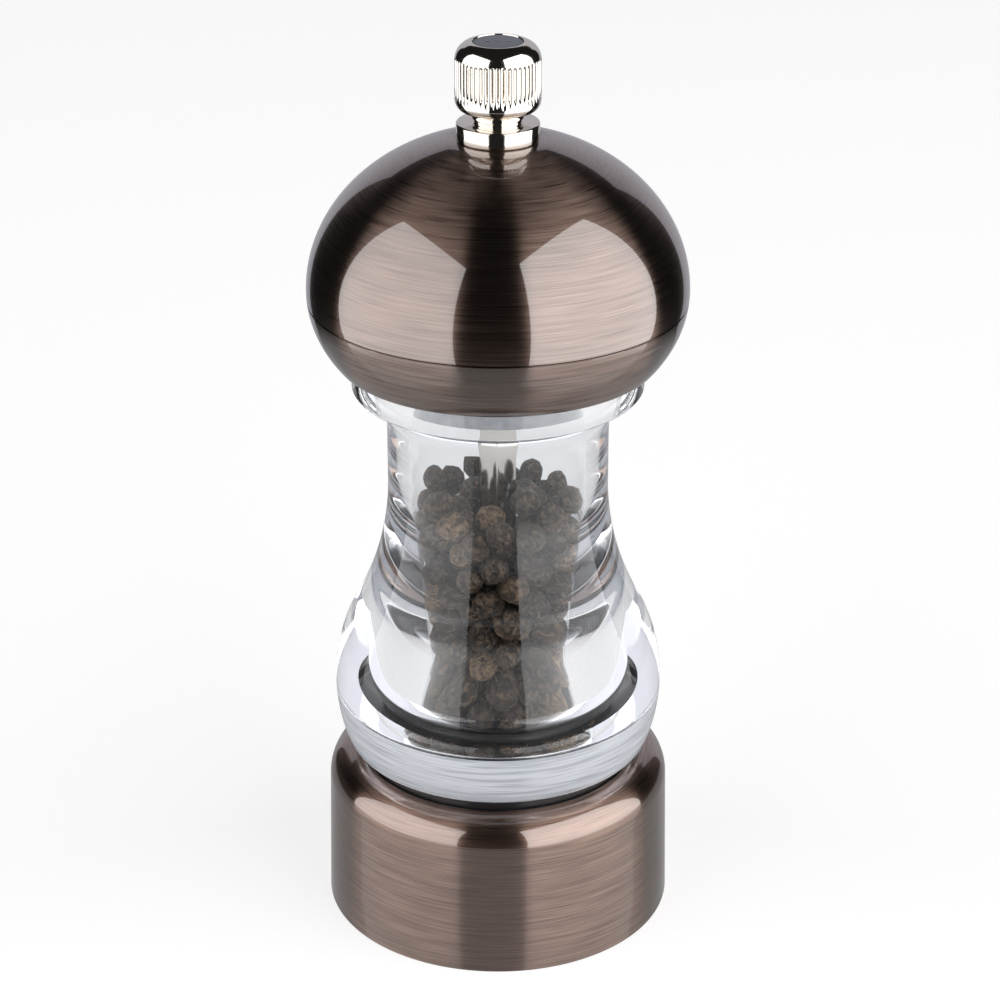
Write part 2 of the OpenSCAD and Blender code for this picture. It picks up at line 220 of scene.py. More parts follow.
part["mirror"].inputs["Roughness"].default_value = 0.12
part["far"].operation = "LENGTH"
part["mirrored"].operation = "SUBTRACT"
part["mirrored"].use_clamp = True
part["edge"].inputs["From Min"].default_value = table_ends
part["edge"].inputs["From Max"].default_value = boxes_begin
for start, end in (
    (part["place"].outputs["Object"], part["far"].inputs[0]),
    (part["far"].outputs["Value"], part["edge"].inputs["Value"]),
    (part["path"].outputs["Is Transmission Ray"], part["bright"].inputs["Value"]),
    (part["bright"].outputs[0], part["glow"].inputs["Strength"]),
    (part["glow"].outputs[0], part["white"].inputs[0]),
    (part["matt"].outputs[0], part["white"].inputs[1]),
    (part["haze"].outputs[0], part["top"].inputs[0]),
    (part["mirror"].outputs[0], part["top"].inputs[1]),
    (part["edge"].outputs[0], part["table"].inputs[0]),
    (part["top"].outputs[0], part["table"].inputs[1]),
    (part["open"].outputs[0], part["table"].inputs[2]),
    (part["path"].outputs["Is Glossy Ray"], part["mirrored"].inputs[0]),
    (part["path"].outputs["Is Transmission Ray"], part["mirrored"].inputs[1]),
    (part["mirrored"].outputs[0], part["choose"].inputs[0]),
    (part["white"].outputs[0], part["choose"].inputs[1]),
    (part["table"].outputs[0], part["choose"].inputs[2]),
    (part["side"].outputs["Backfacing"], part["under"].inputs[0]),
    (part["path"].outputs["Is Camera Ray"], part["under"].inputs[1]),
    (part["under"].outputs[0], part["glassy"].inputs[0]),
    (part["choose"].outputs[0], part["glassy"].inputs[1]),
    (part["open"].outputs[0], part["glassy"].inputs[2]),
    (part["glassy"].outputs[0], part["out"].inputs["Surface"]),
):
    tree.links.new(start, end)
floor.data.materials.append(paper)
print("floor stands at height", round(floor.location.z, 3))

# %% [markdown]
# ## Tools for turned pieces
# A lathe hand thinks of a piece as half an outline. Here the outline is drawn as it would be
# by hand in Blender: a plane is merged to one point, the point is extruded from corner to
# corner, and the finished line is spun once round the mill's axis. Round stretches of an
# outline come from two small functions, one for arcs and one for ovals, so that a curve
# keeps its real radius.

# %% Outline helpers


def arc(x, z, radius, start, end, steps=12):
    """Points of an arc in millimetres, with angles in degrees from the +X direction."""
    turns = [math.radians(start + (end - start) * i / steps) for i in range(steps + 1)]
    return [(x + radius * math.cos(a), z + radius * math.sin(a)) for a in turns]


def oval(half_width, half_height, z, start, end, steps=12):
    """Points of an oval that is centred on the mill's axis at height z."""
    turns = [math.radians(start + (end - start) * i / steps) for i in range(steps + 1)]
    return [(half_width * math.cos(a), z + half_height * math.sin(a)) for a in turns]


def edit(piece):
    """Opens one piece in edit mode with nothing else selected."""
    bpy.ops.object.select_all(action="DESELECT")
    piece.select_set(True)
    bpy.context.view_layer.objects.active = piece
    bpy.ops.object.mode_set(mode="EDIT")


def done(piece, smooth=30):
    """Leaves edit mode, smooths the soft edges and keeps the hard ones."""
    bpy.ops.object.mode_set(mode="OBJECT")
    bpy.ops.object.select_all(action="DESELECT")
    piece.select_set(True)
    bpy.context.view_layer.objects.active = piece
    bpy.ops.object.transform_apply(location=True, rotation=True, scale=True)
    bpy.ops.object.shade_smooth_by_angle(angle=math.radians(smooth))
    print(piece.name, "has", len(piece.data.polygons), "faces")
    return piece


def turned(name, outline, steps=160, smooth=30):
    """Spins a closed half outline, given in millimetres, into a solid of revolution."""
    bpy.ops.object.select_all(action="DESELECT")
    bpy.ops.mesh.primitive_plane_add(size=mm, location=(0, 0, 0))
    piece = bpy.context.object
    piece.name = piece.data.name = name
    edit(piece)
    bpy.ops.mesh.select_mode(type="VERT")
    bpy.ops.mesh.merge(type="CENTER")
    corners = [Vector((x * mm, 0, z * mm)) for x, z in outline]
    bpy.ops.transform.translate(value=corners[0])
    for here, there in zip(corners, corners[1:] + corners[:1]):
        bpy.ops.mesh.extrude_region_move(TRANSFORM_OT_translate={"value": there - here})
    bpy.ops.mesh.select_all(action="SELECT")
    bpy.ops.mesh.remove_doubles(threshold=mm * 0.002)
    bpy.ops.mesh.spin(steps=steps, angle=math.tau, center=(0, 0, 0), axis=(0, 0, 1))
    bpy.ops.mesh.select_all(action="SELECT")
    bpy.ops.mesh.remove_doubles(threshold=mm * 0.002)
    bpy.ops.mesh.normals_make_consistent(inside=False)
    return done(piece, smooth)


def fit(piece, body, slot_name, material, *nodes):
    """Gives a piece its material, its moving body and the working nodes it stands for."""
    piece.data.materials.clear()
    piece.data.materials.append(material)
    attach(piece, body)
    if nodes:
        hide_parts(*nodes)
    return piece


# %% [markdown]
# ## Materials
# Each finish is a small set of nodes on the shader's own inputs. Patterns read Object
# coordinates, and every piece sits at the origin, so a pattern runs round the mill's axis
# without any further help. Values that are the same all over a surface stay on the shader.

# %% Material helpers


def finish(name, color, roughness, metallic=0.0, **inputs):
    """A Principled material with its constant values set on the shader's own sockets."""
    material = bpy.data.materials.new(name)
    material.use_nodes = True
    shader = material.node_tree.nodes["Principled BSDF"]
    shader.inputs["Base Color"].default_value = (*color, 1)
    shader.inputs["Roughness"].default_value = roughness
    shader.inputs["Metallic"].default_value = metallic
    for socket, value in inputs.items():
        shader.inputs[socket.replace("_", " ")].default_value = value
    return material


def add_ramp(tree, source, stops):
    """A colour ramp on a value, given as (place, colour) stops."""
    ramp, stops = tree.nodes.new("ShaderNodeValToRGB"), list(stops)
    band = ramp.color_ramp
    while len(band.elements) < len(stops):
        band.elements.new(0.5)
    for element, (place, color) in zip(band.elements, stops):
        element.position = place
        element.color = (*color, 1)
    tree.links.new(source, ramp.inputs["Fac"])
    return ramp.outputs["Color"]


def add_noise(tree, coords, scale, detail=4.0, rough=0.55, stretch=(1, 1, 1)):
    """A noise on given coordinates, which may be stretched first."""
    mapping = tree.nodes.new("ShaderNodeMapping")
    mapping.inputs["Scale"].default_value = stretch
    tree.links.new(coords, mapping.inputs["Vector"])
    grain = tree.nodes.new("ShaderNodeTexNoise")
    grain.inputs["Scale"].default_value = scale
    grain.inputs["Detail"].default_value = detail
    grain.inputs["Roughness"].default_value = rough
    tree.links.new(mapping.outputs["Vector"], grain.inputs["Vector"])
    return grain.outputs["Fac"]


def add_bump(tree, shader, height, strength, depth_mm):
    """Turns a height into a bump on the shader."""
    bump = tree.nodes.new("ShaderNodeBump")
    bump.inputs["Strength"].default_value = strength
    bump.inputs["Distance"].default_value = depth_mm * mm
    tree.links.new(height, bump.inputs["Height"])
    tree.links.new(bump.outputs["Normal"], shader.inputs["Normal"])


def object_coords(tree):
    """The object coordinates that every pattern starts from."""
    return tree.nodes.new("ShaderNodeTexCoord").outputs["Object"]


# %% [markdown]
# ### Brushed antique copper
# The shells are steel plated with copper, darkened, brushed while they spin and lacquered.
# The brush leaves fine scratches that run round the mill. They could be painted as a ring
# texture, but rings look machine-made, so the scratches are a noise that is stretched along
# the turning direction: the angle round the axis is squeezed, and the way down the outline
# is spread. The tangent follows the same direction, which draws each highlight out across it.

# %% Brushed copper


def math_node(tree, operation, first, second=0.0):
    """A Math node whose inputs are sockets or plain numbers."""
    node = tree.nodes.new("ShaderNodeMath")
    node.operation = operation
    for socket, value in zip(node.inputs, (first, second)):
        if isinstance(value, (int, float)):
            socket.default_value = value
        else:
            tree.links.new(value, socket)
    return node.outputs[0]


def round_the_mill(tree):
    """Coordinates that run round the axis in X and Y, and down the outline in Z, in metres."""
    split = tree.nodes.new("ShaderNodeSeparateXYZ")
    tree.links.new(object_coords(tree), split.inputs[0])
    x, y, z = (split.outputs[axis] for axis in "XYZ")
    angle = math_node(tree, "ARCTAN2", y, x)
    squares = [math_node(tree, "MULTIPLY", side, side) for side in (x, y)]
    across = math_node(tree, "SQRT", math_node(tree, "ADD", *squares))
    down = math_node(tree, "SUBTRACT", math_node(tree, "MULTIPLY", z, 2.0), across)
    join = tree.nodes.new("ShaderNodeCombineXYZ")
    tree.links.new(math_node(tree, "COSINE", angle), join.inputs["X"])
    tree.links.new(math_node(tree, "SINE", angle), join.inputs["Y"])
    tree.links.new(down, join.inputs["Z"])
    return join.outputs[0]


def streaks(tree, lengths, widths, shares):
    """Adds up noises whose streaks run round the mill, so long, so wide and so strong."""
    coords, total = round_the_mill(tree), None
    for length, width, share in zip(lengths, widths, shares):
        layer = add_noise(tree, coords, 1.0, 1.0, 0.5, (1 / length, 1 / length, 1000 / width))
        layer = math_node(tree, "MULTIPLY", layer, share)
        total = layer if total is None else math_node(tree, "ADD", total, layer)
    return total


def brushed_copper(name, dark, bright, roughness, spread):
    """Plated copper under clear lacquer, brushed round the mill's axis."""
    material = finish(
        name, bright, roughness, metallic=1.0, Anisotropic=1.0, Anisotropic_Rotation=0.25,
        Coat_Weight=1.0, Coat_IOR=2.0, Coat_Roughness=0.03,
    )
    tree = material.node_tree
    shader = tree.nodes["Principled BSDF"]
    brush = streaks(tree, (0.4, 0.5, 0.3), (0.22, 0.6, 2.5), (0.45, 0.35, 0.2))
    worn = add_ramp(tree, brush, [(0.5 - spread, dark), (0.5 + spread, bright)])
    tree.links.new(worn, shader.inputs["Base Color"])
    uneven = tree.nodes.new("ShaderNodeMapRange")
    uneven.inputs["From Min"].default_value = 0.35
    uneven.inputs["From Max"].default_value = 0.65
    uneven.inputs["To Min"].default_value = roughness - 0.04
    uneven.inputs["To Max"].default_value = roughness + 0.04
    tree.links.new(brush, uneven.inputs["Value"])
    tree.links.new(uneven.outputs[0], shader.inputs["Roughness"])
    add_bump(tree, shader, brush, 0.12, 0.02)
    tangent = tree.nodes.new("ShaderNodeTangent")
    tangent.direction_type = "RADIAL"
    tangent.axis = "Z"
    tree.links.new(tangent.outputs[0], shader.inputs["Tangent"])
    return material


soft, wear = 0.30, 0.17
head_dark, head_bright = (0.105, 0.067, 0.052), (0.28, 0.195, 0.16)
base_dark, base_bright = (0.16, 0.098, 0.074), (0.40, 0.262, 0.206)
head_copper = brushed_copper("antique_copper", head_dark, head_bright, soft, wear)
base_copper = brushed_copper("antique_copper_base", base_dark, base_bright, soft, wear)
print("finishes so far:", head_copper.name, base_copper.name)

# %% [markdown]
# ### Clear acrylic, nickel and the plain materials
# Acrylic bends light a little less than glass does, and a thick wall of it looks faintly
# blue-grey. Its edges are moulded and polished, so its roughness is next to nothing. The
# knob is warm polished nickel. The grinder's pieces are ceramic, moulded plastic and
# zinc-plated steel, and each has a fine grain of its own.

# %% Plain finishes


def grained(name, color, roughness, metallic=0.0, vary=0.12, scale=900.0, bump=0.15, **inputs):
    """A finish with slight colour variation and a fine grain."""
    material = finish(name, color, roughness, metallic, **inputs)
    tree = material.node_tree
    shader = tree.nodes["Principled BSDF"]
    grain = add_noise(tree, object_coords(tree), scale)
    low = tuple(c * (1 - vary) for c in color)
    high = tuple(min(1.0, c * (1 + vary)) for c in color)
    tree.links.new(add_ramp(tree, grain, [(0.35, low), (0.65, high)]), shader.inputs["Base Color"])
    add_bump(tree, shader, grain, bump, 0.02)
    return material


acrylic = finish("clear_acrylic", (0.965, 0.975, 0.99), 0.0, Transmission_Weight=1.0, IOR=1.49)
turned_acrylic = finish("turned_acrylic", (0.72, 0.74, 0.78), 0.45)
tree = turned_acrylic.node_tree
lathe_marks = streaks(tree, (0.4, 0.9), (0.35, 1.2), (0.6, 0.4))
marks = add_ramp(tree, lathe_marks, [(0.38, (0.50, 0.52, 0.56)), (0.55, (0.80, 0.82, 0.85))])
tree.links.new(marks, tree.nodes["Principled BSDF"].inputs["Base Color"])
# Flat black used as painted shade on the tube's rim, standing in for the dark gap seen through the
# belly.
painted_shade_black = finish("painted_shade_black", (0.012, 0.012, 0.014), 0.35)
nickel = grained("polished_nickel", (0.80, 0.755, 0.70), 0.09, 1.0, 0.04, 500.0, 0.04)
black_plastic = grained("black_plastic", (0.016, 0.016, 0.018), 0.18)
grey_plastic = grained("grey_plastic", (0.50, 0.51, 0.53), 0.42)
nylon = grained("white_nylon", (0.86, 0.86, 0.84), 0.4)
ceramic = grained("grinder_ceramic", (0.82, 0.80, 0.75), 0.35, vary=0.08, scale=1500.0)
zinc = grained("zinc_steel", (0.60, 0.61, 0.63), 0.34, 1.0, 0.15, 700.0)
screw_steel = grained("screw_steel", (0.62, 0.62, 0.64), 0.22, 1.0, 0.1, 900.0)
spring_steel = grained("spring_steel", (0.50, 0.50, 0.52), 0.28, 1.0, 0.1, 900.0)
badge_enamel = grained("badge_enamel", (0.065, 0.075, 0.10), 0.22, vary=0.1)
print("plain finishes ready")

# %% [markdown]
# ## The clear body
# The body is one thick acrylic moulding: a round belly, a slim waist and a flange that the
# head turns on. Its chamber is a straight bore that rounds in to a throat. A recess in its
# underside takes the collar of the grinder, and the throat runs down into that recess as a
# short tube. It could be modelled as a thin shell, but then nothing would bend the view of
# the peppercorns, so it is spun from its full section. The belly and the flare are two arcs
# that meet where their slopes agree. The tube's rim is painted flat black below a set height,
# a painted shade for the dark gap there, and through the belly it shows as a bold dark ring.
# The wall of the recess keeps its fine lathe marks.

# %% Clear body
body_low, body_high = (corner.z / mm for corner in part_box("acrylic_body"))
belly_r, belly_z, belly_arc = 25.78, 38.5, 26.7
waist_r, waist_z = 17.0, 73.0
flange_r, flange_t, hollow_r = 22.3, 4.5, 5.0
chamber_r, round_r, throat_r = 14.0, 6.0, 11.5
recess_r, recess_z, chamber_z = 20.0, 35.5, 34.4
# The tube's rim is painted black as shade up to this height.
tube_r, tube_z, shade_band_z = 14.6, 33.4, 34.6
belly_x = belly_r - belly_arc
flare_r = (waist_r - belly_x) ** 2 + (waist_z - belly_z) ** 2 - belly_arc**2
flare_r /= 2 * (belly_arc - waist_r + belly_x)
meet = math.degrees(math.atan2(waist_z - belly_z, waist_r - belly_x + flare_r))
foot_r = 2.0
foot = math.degrees(math.asin((body_low + foot_r - belly_z) / (belly_arc - foot_r)))
foot_x = belly_x + (belly_arc - foot_r) * math.cos(math.radians(foot))
flange_low = body_high - flange_t
round_x = chamber_r - round_r
round_turn = math.degrees(math.acos((throat_r - round_x) / round_r))
round_z = chamber_z + round_r * math.sin(math.radians(round_turn))
outside = (
    arc(foot_x, body_low + foot_r, foot_r, -90, foot - 6, 8)
    + arc(belly_x, belly_z, belly_arc, foot, meet, 40)
    + arc(waist_r + flare_r, waist_z, flare_r, 180 + meet - 0.5, 180, 36)
    + arc(waist_r + hollow_r, flange_low - hollow_r, hollow_r, 180, 92, 20)
    + arc(flange_r - 0.5, flange_low + 0.5, 0.5, -80, 0, 4)
    + arc(flange_r - 0.5, body_high - 0.5, 0.5, 0, 90, 5)
)
inside = (
    arc(chamber_r + 0.3, body_high - 0.3, 0.3, 90, 180, 4)
    + arc(round_x, round_z, round_r, 0, -round_turn, 20)
    + [(throat_r, tube_z + 0.1), (throat_r + 0.1, tube_z)]
    + [(tube_r - 0.2, tube_z), (tube_r, tube_z + 0.2)]
    + [(tube_r, shade_band_z), (tube_r, recess_z), (recess_r - 0.4, recess_z)]
    + arc(recess_r - 0.4, recess_z - 0.4, 0.4, 80, 0, 4)
    + [(recess_r, body_low)]
)
clear_body = turned("clear_body", outside + inside, steps=192, smooth=35)
fit(clear_body, "mill_body", "clear_acrylic", acrylic, "acrylic_body")
clear_body.data.materials.append(turned_acrylic)
clear_body.data.materials.append(painted_shade_black)
for face in clear_body.data.polygons:
    across, up = math.hypot(face.center.x, face.center.y) / mm, face.center.z / mm
    if abs(across - recess_r) < 0.3 and up < recess_z - 0.4:
        face.material_index = 1
    # The tube's faces below that height get the flat black: painted shade for the dark gap, not a
    # coating.
    if across < tube_r + 0.1 and up < shade_band_z:
        face.material_index = 2
kinds = [face.material_index for face in clear_body.data.polygons]
print("faces left from the lathe:", kinds.count(1), "and painted black as shade:", kinds.count(2))

# %% [markdown]
# ## The two shells of the head
# The head is a dome over a shallower bowl, pressed from sheet and joined by a fine seam just
# under the widest line. Both halves are ovals of the same width, so they meet without a
# step. The dome ends in a small flat for the knob, and the bowl turns in at its lower edge.

# %% Head shells
head_r, head_z = 28.8, 104.0
dome_h, bowl_h, wall = 24.0, 20.5, 0.8
seat_z, seam_z, seam_gap = 127.25, 102.8, 0.15
low_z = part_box("head_skirt_shell")[0].z / mm
lip_r, hole_r = 23.3, 5.7


def reach(height, half_height):
    """Angle in degrees at which an oval of this half height passes a height."""
    return math.degrees(math.asin((height - head_z) / half_height))


def bowl_at(height):
    """Radius of the bowl's outside at a height, less the small bevel at the seam."""
    return head_r * math.cos(math.radians(reach(height, bowl_h))) - 0.15


dome = turned(
    "head_dome",
    [(head_r - wall, seam_z + 0.1), (bowl_at(seam_z), seam_z)]
    + oval(head_r, bowl_h, head_z, reach(seam_z + 0.12, bowl_h), -0.5, 3)
    + oval(head_r, dome_h, head_z, 0, reach(seat_z - 0.15, dome_h), 64)
    + [(6.6, seat_z), (hole_r, seat_z), (hole_r, seat_z - wall)]
    + oval(head_r - wall, dome_h - wall, head_z, reach(seat_z - wall, dome_h - wall), 0, 24),
    steps=192,
)
fit(dome, "head", "antique_copper", head_copper, "head_dome_shell")
skirt_top = seam_z - 0.6 * seam_gap
bowl_inner = bowl_h - wall
skirt = turned(
    "head_skirt",
    [(lip_r, low_z), (lip_r + 0.6, low_z)]
    + oval(head_r, bowl_h, head_z, reach(low_z + 0.12, bowl_h), reach(skirt_top - 0.12, bowl_h), 24)
    + [(bowl_at(skirt_top), skirt_top)]
    + oval(
        head_r - wall, bowl_inner, head_z,
        reach(skirt_top, bowl_inner), reach(low_z + wall, bowl_inner),
    )
    + [(lip_r, low_z + wall)],
    steps=192,
)
fit(skirt, "head", "antique_copper", head_copper, "head_skirt_shell")

# %% [markdown]
# ## The base sleeve and the dark neck
# The sleeve is a short metal cup, open at both ends, with a round shoulder that turns in to
# the neck of the black core. The core is the piece that holds the mill together: the clear
# body sits on its neck, and the mill stands on its foot. Seen from below it is a wheel of
# thin walls and ribs, because a moulding cools evenly only when its walls are thin.

# %% Base sleeve
base_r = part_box("base_shell")[1].x / mm
base_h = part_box("base_shell")[1].z / mm
shoulder_r, neck_r, core_bore = 4.7, 21.3, 18.0
top_r = base_r - 0.45
shoulder_x, shoulder_z = top_r - shoulder_r, base_h - shoulder_r
sleeve = turned(
    "base_sleeve",
    [(base_r - wall, 0.1), (base_r - wall + 0.1, 0)]
    + arc(base_r - 0.3, 0.3, 0.3, -90, 0, 5)
    + [(base_r - 0.15, shoulder_z / 3), (base_r - 0.3, shoulder_z * 2 / 3)]
    + arc(shoulder_x, shoulder_z, shoulder_r, 0, 88, 28)
    + arc(neck_r + 0.5, base_h - 0.3, 0.3, 90, 180, 4)
    + [(neck_r + 0.2, base_h - wall)]
    + arc(shoulder_x, shoulder_z, shoulder_r - wall, 90, 0, 12),
    steps=192,
)
fit(sleeve, "mill_body", "antique_copper_base", base_copper, "base_shell")

# %% Base core
core_out, skirt_r = top_r - wall - 0.1, 23.8
core = turned(
    "base_core_moulding",
    [(core_bore, 2.2), (core_bore + 0.2, 2), (core_bore + 1.6, 2)]
    + [(core_bore + 1.6, shoulder_z - 0.2), (skirt_r, shoulder_z - 0.2)]
    + [(skirt_r, 0.2), (skirt_r + 0.2, 0), (core_out - 0.2, 0), (core_out, 0.2)]
    + arc(shoulder_x, shoulder_z, core_out - shoulder_x, 0, 90, 12)
    + [(neck_r, base_h - wall - 0.1)]
    + arc(neck_r - 0.3, body_low - 0.32, 0.3, 0, 90, 4)
    + [(core_bore, body_low - 0.02)],
    steps=128,
)
for i in range(8):
    turn = math.radians(45 * i + 22.5)
    bpy.ops.object.select_all(action="DESELECT")
    bpy.ops.mesh.primitive_cube_add(
        size=1,
        location=(21.7 * mm * math.cos(turn), 21.7 * mm * math.sin(turn), 12.4 * mm),
        rotation=(0, 0, turn),
        scale=(4.6 * mm, 1.4 * mm, 16.8 * mm),
    )
    rib = bpy.context.object
    edit(rib)
    bpy.ops.mesh.select_all(action="SELECT")
    bpy.ops.mesh.bevel(offset=0.15 * mm, segments=2, affect="EDGES")
    bpy.ops.object.mode_set(mode="OBJECT")
    core.select_set(True)
    bpy.context.view_layer.objects.active = core
    bpy.ops.object.join()
done(core)
fit(core, "mill_body", "black_plastic", black_plastic, "base_core")

# %% [markdown]
# ## The knob
# The knob is turned from bar and plated: a flat flange, a waisted neck and a grip with
# straight flutes. The flutes could be cut with booleans, but a spin whose steps are a
# multiple of the flute count leaves whole columns of points, and drawing every few columns
# inwards cuts all the flutes in one move and leaves clean quads.

# %% Knob
knob_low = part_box("knob")[0].z / mm
knob_high = 142.0
grip_r, knob_flange, knob_neck = 6.35, 6.2, 3.65
bore_r, badge_r = 2.11, 3.6
flutes, columns = 48, 6
grip_low, flute_low, flute_high = knob_low + 6.0, knob_low + 6.7, knob_high - 2.4
top_round = grip_r - badge_r - 0.05
grip_rise = [(grip_r, flute_low + (flute_high - 0.5 - flute_low) * i / 6) for i in range(7)]
knob = turned(
    "knob_body",
    [(bore_r, knob_low), (knob_flange - 0.35, knob_low)]
    + arc(knob_flange - 0.3, knob_low + 0.3, 0.3, -80, 0, 4)
    + arc(knob_flange - 0.3, knob_low + 2.3, 0.3, 0, 88, 5)
    + [(knob_neck + 0.15, knob_low + 2.6), (knob_neck - 0.05, knob_low + 2.75)]
    + [(knob_neck - 0.05, knob_low + 3.0)]
    + arc(knob_neck - 0.25, knob_low + 3.5, 0.5, -70, 70, 6)
    + [(knob_neck - 0.15, knob_low + 4.05), (knob_neck - 0.15, knob_low + 4.35)]
    + [(knob_neck, knob_low + 4.45)]
    + arc(grip_r - 1.6, grip_low, 1.6, -58, 0, 10)
    + grip_rise
    + arc(grip_r - top_round, knob_high - top_round, top_round, 4, 87, 22)
    + [(badge_r + 0.1, knob_high - 0.15), (badge_r + 0.03, knob_high - 0.3)]
    + [(badge_r + 0.03, knob_high - 0.7)]
    + [(0.4, knob_high - 0.7), (0.4, 137.2), (bore_r, 137.2)],
    steps=flutes * columns,
)
edit(knob)
bpy.ops.mesh.select_all(action="DESELECT")
bpy.ops.object.mode_set(mode="OBJECT")
in_grip = 0
for chosen, share in (((0,), 0.95), ((1, 5), 0.972)):
    bpy.ops.object.mode_set(mode="OBJECT")
    for v in knob.data.vertices:
        column = round(math.atan2(v.co.y, v.co.x) / math.tau * flutes * columns) % columns
        wide = math.hypot(v.co.x, v.co.y) > (grip_r - 0.3) * mm
        high = flute_low * mm + 1e-6 < v.co.z < flute_high * mm
        v.select = bool(column in chosen and wide and high)
        in_grip += v.select
    bpy.ops.object.mode_set(mode="EDIT")
    bpy.ops.transform.resize(value=(share, share, 1), center_override=(0, 0, 0))
done(knob, 60)
fit(knob, "knob", "polished_nickel", nickel, "knob")
print("points drawn in for the flutes:", in_grip)

# %% Inlay disc with three dots
inlay = turned(
    "knob_inlay",
    [(0.0, knob_high - 0.68), (badge_r, knob_high - 0.68), (badge_r, knob_high - 0.2)]
    + [(badge_r - 0.12, knob_high - 0.08)]
    + [(badge_r * k / 5, knob_high - 0.08 + 0.04 * (1 - (k / 5) ** 2)) for k in range(4, -1, -1)],
    steps=96,
)
for side in (-1, 0, 1):
    bpy.ops.object.select_all(action="DESELECT")
    bpy.ops.mesh.primitive_cylinder_add(
        vertices=32,
        radius=0.45 * mm,
        depth=0.12 * mm,
        location=(1.5 * side * mm, 0, (knob_high - 0.1) * mm),
    )
    dot = bpy.context.object
    edit(dot)
    bpy.ops.mesh.select_all(action="SELECT")
    bpy.ops.mesh.bevel(offset=0.03 * mm, segments=2, affect="EDGES")
    bpy.ops.object.mode_set(mode="OBJECT")
    inlay.select_set(True)
    bpy.context.view_layer.objects.active = inlay
    bpy.ops.object.join()
done(inlay)
fit(inlay, "knob", "badge_enamel", badge_enamel, "knob_badge")

# %% [markdown]
# ## The bar
# The bar that carries the turn from the head to the grinder is drawn metal, square, with
# slightly rounded corners, and it stands at an angle so that one corner faces forward. Its
# top is threaded for the knob and its lower end is turned round, to run in the bridge.

# %% Square bar
bar_side, bar_turn = 4.2, math.radians(42)
bar_low, bar_high = 11.4, 120.0
satin = grained("satin_bar", (0.66, 0.635, 0.60), 0.13, 1.0, 0.08, 60.0, 0.05)
bpy.ops.object.select_all(action="DESELECT")
bpy.ops.mesh.primitive_cube_add(
    size=1,
    location=(0, 0, (bar_low + bar_high) / 2 * mm),
    rotation=(0, 0, bar_turn),
    scale=(bar_side * mm, bar_side * mm, (bar_high - bar_low) * mm),
)
bar = bpy.context.object
bar.name = bar.data.name = "square_bar"
edit(bar)
bpy.ops.mesh.select_all(action="SELECT")
bpy.ops.mesh.bevel(offset=0.32 * mm, segments=3, affect="EDGES")
done(bar)
thread_r, root_r, pitch = 2.05, 1.7, 0.8
shaft_low, shaft_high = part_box("shaft")[0].z / mm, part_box("shaft")[1].z / mm
one_ridge = ((thread_r, 0.3), (thread_r, 0.5), (root_r, 0.8))
ridges = [(r, bar_high + 0.6 + (i + k) * pitch) for i in range(18) for r, k in one_ridge]
ends = turned(
    "shaft_ends",
    [(0, bar_high - 1), (root_r, bar_high - 1)]
    + ridges
    + [(root_r - 0.3, shaft_high), (0, shaft_high)],
    steps=48,
)
low_end = turned(
    "shaft_low_end",
    [(0, bar_low + 0.5), (2.0, bar_low + 0.5), (2.0, shaft_low + 0.3)]
    + [(1.7, shaft_low), (0, shaft_low)],
    steps=48,
)
for piece in (ends, low_end, bar):
    piece.select_set(True)
bpy.context.view_layer.objects.active = bar
bpy.ops.object.join()
done(bar)
fit(bar, "shaft", "satin_bar", satin, "shaft")

# %% [markdown]
# ## The peppercorns
# A few hundred dried berries fill the chamber. Each is a ball of about five millimetres with
# a wrinkled skin, and no two lie the same way. A physics run could drop them in, but it is
# slow and hard to repeat, so each berry is let down in turn at the lowest of several places
# tried, resting on the berries below it and clear of the wall, the throat and the bar. Six
# wrinkled shapes are modelled with few faces, and every berry is a turned copy of one.

# %% Let the berries down
drop = np.random.default_rng(11)
fill_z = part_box("peppercorns")[1].z / mm
bar_clear, floor_z, tries = 3.0, 29.8, 240


def room_at(z):
    """Radius of the chamber at each height, in millimetres."""
    below = np.clip(round_z - z, 0, None)
    curve = round_x + np.sqrt(np.clip(round_r**2 - below**2, 0, None))
    return np.where(z < chamber_z, throat_r, np.maximum(curve, throat_r)) - 0.1


def resting_height(x, y, radius, corns):
    """Height at which a berry comes to lie on those below it, for each place x, y."""
    if not len(corns):
        return np.full(x.shape, floor_z)
    flat = np.hypot(corns[:, 0, None] - x, corns[:, 1, None] - y)
    touch = (corns[:, 3, None] + radius) * 0.97
    top = corns[:, 2, None] + np.sqrt(np.clip(touch**2 - flat**2, 0, None))
    return np.where(flat < touch, top, floor_z).max(axis=0)


corns = np.zeros((0, 4))
while len(corns) < 520:
    radius = drop.uniform(2.05, 2.5)
    turn = drop.uniform(0, math.tau, tries)
    inner, outer = bar_clear + radius, chamber_r - 0.1 - radius
    out = np.where(drop.random(tries) < 0.55, outer, drop.uniform(inner, outer, tries))
    for _ in range(4):
        z = resting_height(out * np.cos(turn), out * np.sin(turn), radius, corns)
        out = np.minimum(out, room_at(z) - radius)
    z[out < inner - 0.05] = math.inf
    lowest = int(np.argmin(z))
    if z[lowest] > fill_z + 0.2:
        break
    place = out[lowest] * np.cos(turn[lowest]), out[lowest] * np.sin(turn[lowest])
    corns = np.vstack([corns, (*place, z[lowest], radius)])
print("berries let down:", len(corns), "up to height", round(float(corns[:, 2].max()), 1), "mm")

# %% Six wrinkled berries
berry_shapes = []
for k in range(6):
    bpy.ops.object.select_all(action="DESELECT")
    bpy.ops.mesh.primitive_ico_sphere_add(subdivisions=2, radius=mm, location=(0, 0, 0))
    berry = bpy.context.object
    berry.name = f"berry_{k}"
    for v in berry.data.vertices:
        way = v.co.normalized()
        broad = noise.noise(way * 1.6 + Vector((k * 7, 0, 0)))
        fine = noise.noise(way * 3.7 + Vector((0, k * 5, 0)))
        v.co = way * mm * (1.02 + 0.10 * broad + 0.14 * fine)
    berry_shapes.append(berry)
print("berry shapes:", len(berry_shapes), "with", len(berry_shapes[0].data.polygons), "faces each")

